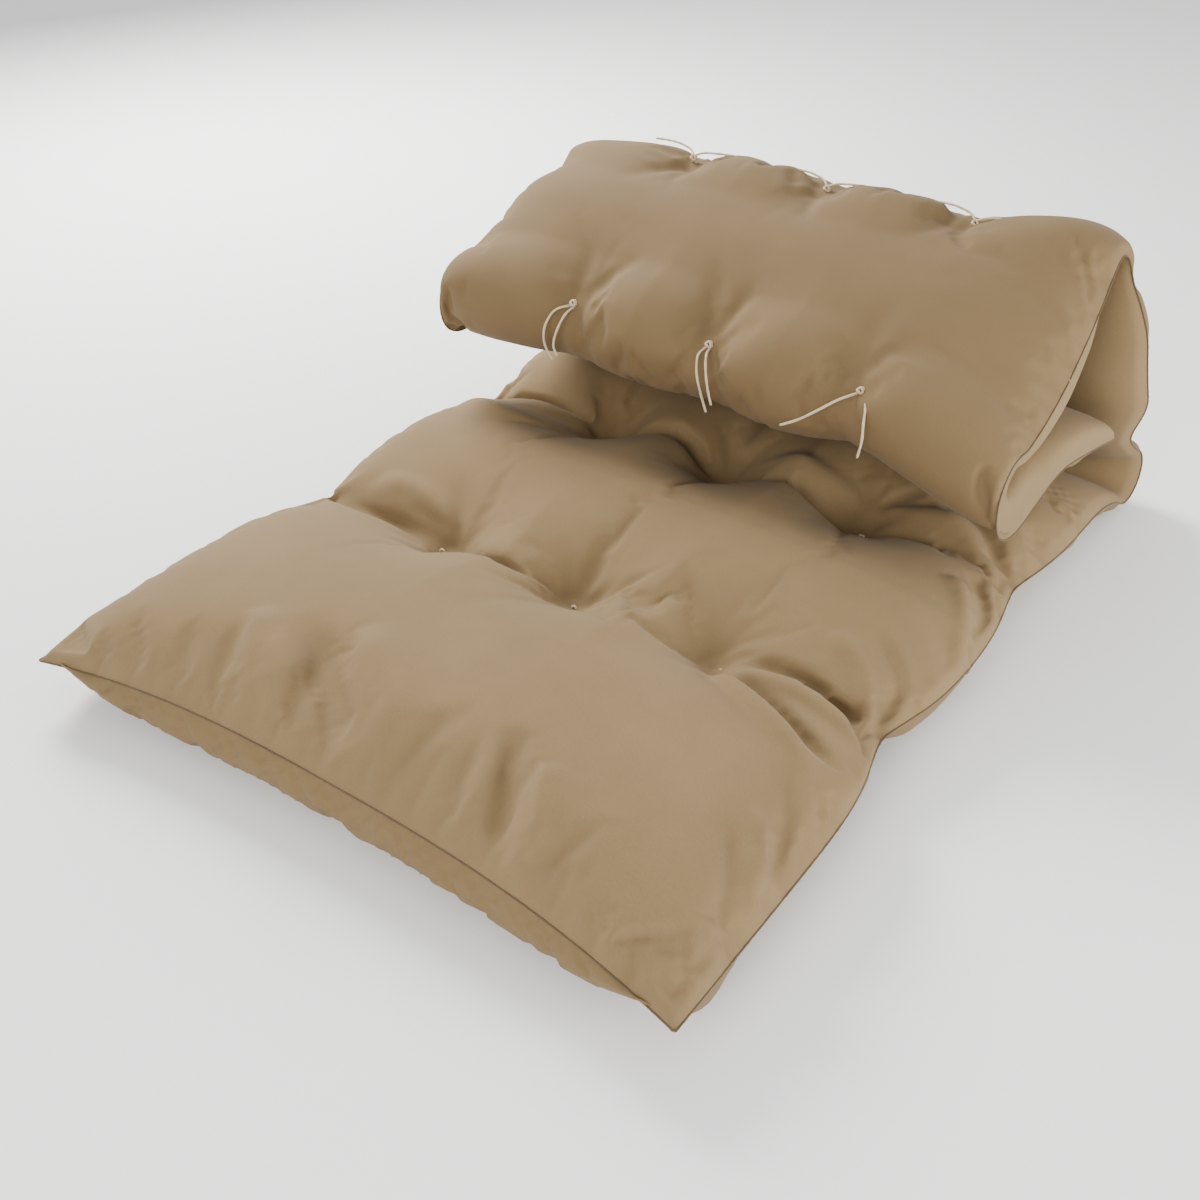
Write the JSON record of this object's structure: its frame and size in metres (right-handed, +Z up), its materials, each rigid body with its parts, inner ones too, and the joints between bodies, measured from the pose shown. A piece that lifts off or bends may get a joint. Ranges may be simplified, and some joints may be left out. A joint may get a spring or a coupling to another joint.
{
  "type": "futon mattress",
  "caption": "Tufted knife-edge futon mattress in plain tan twill, flat at the front with its far end rolled up on itself.",
  "frame": {"origin": "on the floor at the middle of the second panel from the front", "axes": "+Z up, +Y from the flat front end towards the roll, +X across the width"},
  "size_m": [0.7, 0.9284, 0.3367],
  "materials": {
    "cover_cloth": "plain tan cotton twill",
    "felt_batting": "needled cotton felt",
    "core_batting": "garnetted cotton",
    "tie_thread": "waxed cotton thread"
  },
  "bodies": {
    "panel_1": {"cover_top_1": "cover_cloth", "cover_bottom_1": "cover_cloth", "batting_upper_1": "felt_batting", "batting_core_1": "core_batting", "batting_lower_1": "felt_batting"},
    "panel_2": {"cover_top_2": "cover_cloth", "cover_bottom_2": "cover_cloth", "batting_upper_2": "felt_batting", "batting_core_2": "core_batting", "batting_lower_2": "felt_batting", "tie_1_left": "tie_thread", "tie_1_middle": "tie_thread", "tie_1_right": "tie_thread", "tie_tails_1": "tie_thread"},
    "panel_3": {"cover_top_3": "cover_cloth", "cover_bottom_3": "cover_cloth", "batting_upper_3": "felt_batting", "batting_core_3": "core_batting", "batting_lower_3": "felt_batting", "tie_2_left": "tie_thread", "tie_2_middle": "tie_thread", "tie_2_right": "tie_thread", "tie_tails_2": "tie_thread", "tie_3_left": "tie_thread", "tie_3_middle": "tie_thread", "tie_3_right": "tie_thread", "tie_tails_3": "tie_thread"},
    "panel_4": {"cover_top_4": "cover_cloth", "cover_bottom_4": "cover_cloth", "batting_upper_4": "felt_batting", "batting_core_4": "core_batting", "batting_lower_4": "felt_batting"},
    "panel_5": {"cover_top_5": "cover_cloth", "cover_bottom_5": "cover_cloth", "batting_upper_5": "felt_batting", "batting_core_5": "core_batting", "batting_lower_5": "felt_batting", "tie_4_left": "tie_thread", "tie_4_middle": "tie_thread", "tie_4_right": "tie_thread", "tie_tails_4": "tie_thread", "tie_5_left": "tie_thread", "tie_5_middle": "tie_thread", "tie_5_right": "tie_thread", "tie_tails_5": "tie_thread"},
    "panel_6": {"cover_top_6": "cover_cloth", "cover_bottom_6": "cover_cloth", "batting_upper_6": "felt_batting", "batting_core_6": "core_batting", "batting_lower_6": "felt_batting"}
  },
  "joints": [
    {"name": "front_end_fold", "type": "hinge", "parent": "panel_2", "child": "panel_1", "pos_m": [0, -0.1375, 0.04], "axis": [-1, 0, 0], "range_deg": [0, 80]},
    {"name": "front_half_fold", "type": "hinge", "parent": "panel_3", "child": "panel_2", "pos_m": [0, 0.1375, 0.04], "axis": [-1, 0, 0], "range_deg": [0, 30]},
    {"name": "unroll_floor_row", "type": "hinge", "parent": "panel_3", "child": "panel_4", "pos_m": [0, 0.4125, 0.04], "axis": [-1, 0, 0], "range_deg": [0, 108]},
    {"name": "unroll_crest_row", "type": "hinge", "parent": "panel_4", "child": "panel_5", "pos_m": [0, 0.32752, 0.30154], "axis": [-1, 0, 0], "range_deg": [0, 94]},
    {"name": "unroll_front_row", "type": "hinge", "parent": "panel_5", "child": "panel_6", "pos_m": [0, 0.10036, 0.20976], "axis": [-1, 0, 0], "range_deg": [0, 141], "deforming": ["tie_tails_5"]}
  ],
  "couplings": [
    {"joint": "unroll_crest_row", "follows": "unroll_floor_row", "ratio": 0.87037},
    {"joint": "unroll_front_row", "follows": "unroll_floor_row", "ratio": 1.3055}
  ]
}
